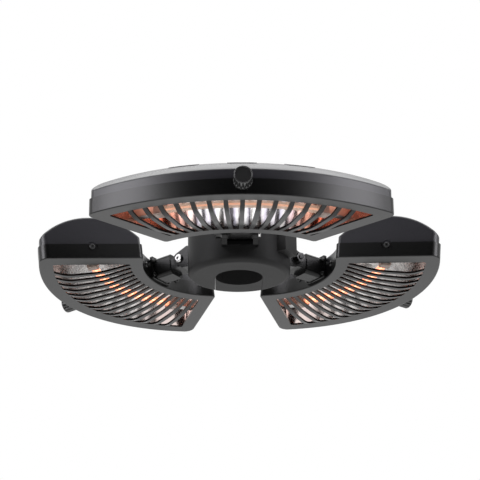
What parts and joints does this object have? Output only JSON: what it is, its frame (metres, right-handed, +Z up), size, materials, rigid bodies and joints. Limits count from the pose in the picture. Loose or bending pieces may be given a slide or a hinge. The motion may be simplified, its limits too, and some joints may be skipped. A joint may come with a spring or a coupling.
{
  "type": "umbrella patio heater",
  "caption": "Electric radiant heater that clamps round an umbrella pole, with arc-shaped tilting heads, grilles and lamps.",
  "frame": {"origin": "on the pole axis, at the underside of the hub", "axes": "+Z up along the pole, -Y towards the front head, +Y towards the gate and the clamp knob"},
  "size_m": [0.4579, 0.4667, 0.0913],
  "materials": {
    "hub_plastic": "satin",
    "charcoal_paint": "satin",
    "black_paint": "semi-gloss",
    "dark_screw": "satin",
    "bright_steel": "polished",
    "brass_insert": "plain",
    "pad_rubber": "matt",
    "knob_plastic": "fluted gloss",
    "gland_plastic": "matt",
    "terminal_plastic": "plain",
    "wire_cover": "plain",
    "bright_reflector": "hammered bright",
    "lamp_glass": "clear",
    "glowing_filament": "glowing",
    "lamp_ceramic": "glazed",
    "clip_steel": "plain"
  },
  "bodies": {
    "hub": {"hub_housing": "hub_plastic", "hub_top_cover": "hub_plastic", "cover_screws": "dark_screw", "pole_gate": "hub_plastic", "gate_screws": "dark_screw", "clamp_insert": "brass_insert", "service_cover": "hub_plastic", "cable_gland": "gland_plastic", "terminal_block": "terminal_plastic", "hub_wires": "wire_cover", "front_yoke": "black_paint", "right_yoke": "black_paint", "left_yoke": "black_paint", "hinge_bolts": "bright_steel", "hinge_nuts": "bright_steel", "hinge_washers": "bright_steel", "friction_washers": "gland_plastic", "yoke_screws": "dark_screw"},
    "pad": {"pressure_pad": "pad_rubber"},
    "clamp": {"clamp_screw": "bright_steel", "hand_knob": "knob_plastic"},
    "front_head": {"front_arm": "black_paint", "front_arm_screws": "dark_screw", "front_bezel": "charcoal_paint", "front_cover": "charcoal_paint", "front_case_screws": "dark_screw", "front_reflector": "bright_reflector", "front_lamp": "lamp_glass", "front_filament": "glowing_filament", "front_lamp_caps": "lamp_ceramic", "front_lamp_clips": "clip_steel", "front_wires": "wire_cover", "front_grip": "knob_plastic"},
    "right_head": {"right_arm": "black_paint", "right_arm_screws": "dark_screw", "right_bezel": "charcoal_paint", "right_cover": "charcoal_paint", "right_case_screws": "dark_screw", "right_reflector": "bright_reflector", "right_lamp": "lamp_glass", "right_filament": "glowing_filament", "right_lamp_caps": "lamp_ceramic", "right_lamp_clips": "clip_steel", "right_wires": "wire_cover", "right_grip": "knob_plastic"},
    "left_head": {"left_arm": "black_paint", "left_arm_screws": "dark_screw", "left_bezel": "charcoal_paint", "left_cover": "charcoal_paint", "left_case_screws": "dark_screw", "left_reflector": "bright_reflector", "left_lamp": "lamp_glass", "left_filament": "glowing_filament", "left_lamp_caps": "lamp_ceramic", "left_lamp_clips": "clip_steel", "left_wires": "wire_cover", "left_grip": "knob_plastic"}
  },
  "joints": [
    {"name": "front_tilt", "type": "hinge", "parent": "hub", "child": "front_head", "pos_m": [0, -0.0685, 0.029], "axis": [1, 0, 0], "range_deg": [0, 45]},
    {"name": "right_tilt", "type": "hinge", "parent": "hub", "child": "right_head", "pos_m": [0.05932, 0.03425, 0.029], "axis": [-0.5, 0.866, 0], "range_deg": [-6.3, 38.7]},
    {"name": "left_tilt", "type": "hinge", "parent": "hub", "child": "left_head", "pos_m": [-0.05932, 0.03425, 0.029], "axis": [-0.5, -0.866, 0], "range_deg": [-7.6, 37.4]},
    {"name": "pad_slide", "type": "slide", "parent": "hub", "child": "pad", "axis": [0, -1, 0], "range_m": [0, 0.016]},
    {"name": "screw_turn", "type": "hinge", "parent": "pad", "child": "clamp", "pos_m": [0, 0, 0.036], "axis": [0, -1, 0], "range_deg": [0, 2885]}
  ],
  "couplings": [
    {"joint": "screw_turn", "follows": "pad_slide", "rad_per_m": 3141.6}
  ]
}
